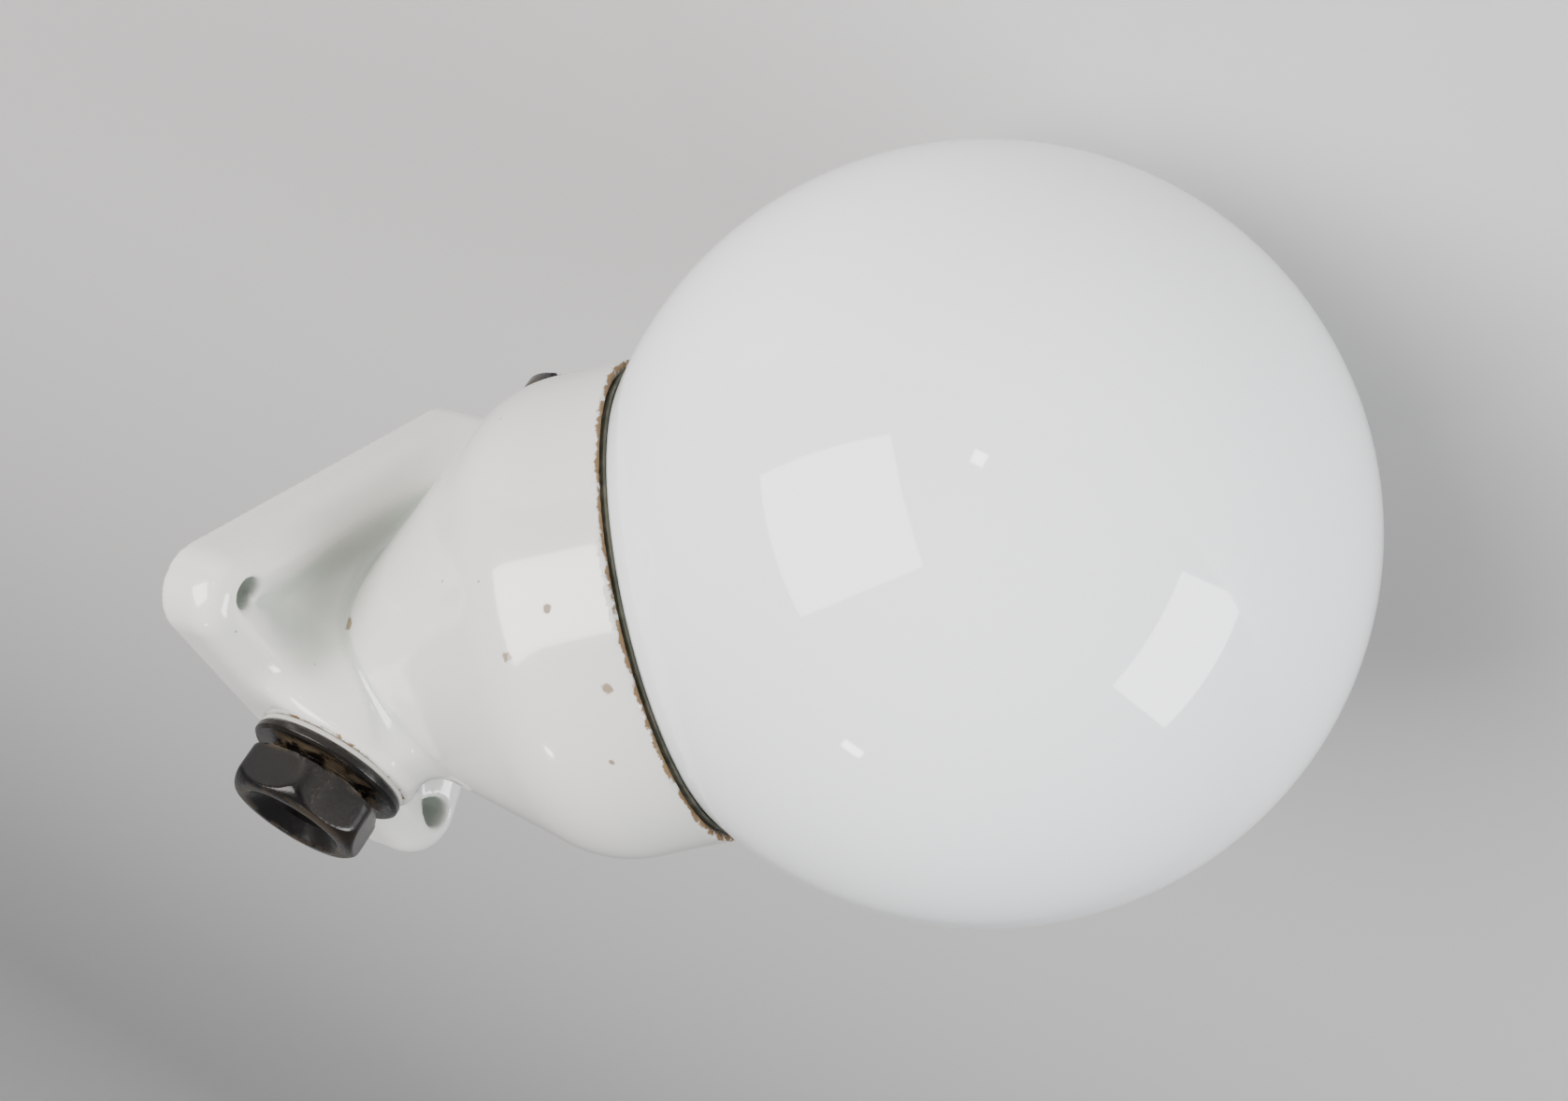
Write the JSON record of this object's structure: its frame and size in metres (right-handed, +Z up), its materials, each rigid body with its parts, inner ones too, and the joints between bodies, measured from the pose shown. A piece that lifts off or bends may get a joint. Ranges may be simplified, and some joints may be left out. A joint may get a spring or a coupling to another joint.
{
  "type": "porcelain wall lamp with opal globe",
  "caption": "Inclined porcelain wall lamp: a triangular glazed base and collar, a screwed opal glass globe over a bulb, a moulded cable gland and a blanking plug.",
  "frame": {"origin": "on the wall plane, midway between the two wall screws", "axes": "+Y into the wall, +Z up the wall, the globe leans out along -Y and down; +X to the right seen from the front"},
  "size_m": [0.15, 0.1985, 0.1763],
  "materials": {
    "porcelain": "glossy warm white glaze over porcelain",
    "gasket_rubber": "aged grey-green rubber",
    "opal_glass": "smooth glossy opal glass",
    "white_ceramic": "satin white steatite",
    "contact_brass": "pressed brass with light tarnish",
    "plated_steel": "zinc-plated steel",
    "solder": "dull solder",
    "black_glass": "black glass insulator",
    "cap_aluminium": "pressed aluminium lamp cap",
    "clear_glass": "thin clear glass",
    "filament_metal": "nickel wire and tungsten filament",
    "grey_rubber": "grey rubber",
    "bakelite": "dark brown-black phenolic moulding, dusty"
  },
  "bodies": {
    "housing": {"porcelain_body": "porcelain", "lampholder_body": "white_ceramic", "screw_shell": "contact_brass", "centre_contact": "contact_brass", "shell_contact": "contact_brass", "live_terminal": "contact_brass", "neutral_terminal": "contact_brass", "terminal_screws": "plated_steel", "lampholder_screws": "plated_steel", "lampholder_nuts": "plated_steel", "gland_gasket": "grey_rubber", "gland_body": "bakelite", "gland_seal": "grey_rubber"},
    "gasket_carrier": {"globe_gasket": "gasket_rubber"},
    "globe": {"glass_globe": "opal_glass"},
    "bulb_carrier": {"bulb_tip": "solder"},
    "bulb": {"bulb_insulator": "black_glass", "bulb_cap": "cap_aluminium", "bulb_glass": "clear_glass", "bulb_stem": "clear_glass", "bulb_filament": "filament_metal"},
    "ring_carrier": {"gland_slip_ring": "plated_steel"},
    "compression_nut": {"gland_nut": "bakelite"},
    "washer_carrier": {"plug_washer": "grey_rubber"},
    "plug": {"blanking_plug": "bakelite"}
  },
  "joints": [
    {"name": "globe_travel", "type": "slide", "parent": "housing", "child": "gasket_carrier", "axis": [0, -0.866, -0.5], "range_m": [0, 0.00901]},
    {"name": "globe_turn", "type": "hinge", "parent": "gasket_carrier", "child": "globe", "pos_m": [0, -0.07292, -0.0461], "axis": [0, -0.866, -0.5], "range_deg": [0, 540]},
    {"name": "bulb_travel", "type": "slide", "parent": "housing", "child": "bulb_carrier", "axis": [0, -0.866, -0.5], "range_m": [0, 0.0163]},
    {"name": "bulb_turn", "type": "hinge", "parent": "bulb_carrier", "child": "bulb", "pos_m": [0, -0.05716, -0.037], "axis": [0, -0.866, -0.5], "range_deg": [0, 1620]},
    {"name": "nut_travel", "type": "slide", "parent": "housing", "child": "ring_carrier", "axis": [0, 0, 1], "range_m": [0, 0.00451]},
    {"name": "nut_turn", "type": "hinge", "parent": "ring_carrier", "child": "compression_nut", "pos_m": [0, -0.017, 0.011], "axis": [0, 0, 1], "range_deg": [0, 1080]},
    {"name": "plug_travel", "type": "slide", "parent": "housing", "child": "washer_carrier", "axis": [0, 0, -1], "range_m": [0, 0.00601]},
    {"name": "plug_turn", "type": "hinge", "parent": "washer_carrier", "child": "plug", "pos_m": [0, -0.019, -0.0795], "axis": [0, 0, -1], "range_deg": [0, 1440]}
  ],
  "couplings": [
    {"joint": "globe_travel", "follows": "globe_turn", "m_per_rad": 0.00095493},
    {"joint": "bulb_travel", "follows": "bulb_turn", "m_per_rad": 0.00057614},
    {"joint": "nut_travel", "follows": "nut_turn", "m_per_rad": 0.00023873},
    {"joint": "plug_travel", "follows": "plug_turn", "m_per_rad": 0.00023873}
  ]
}
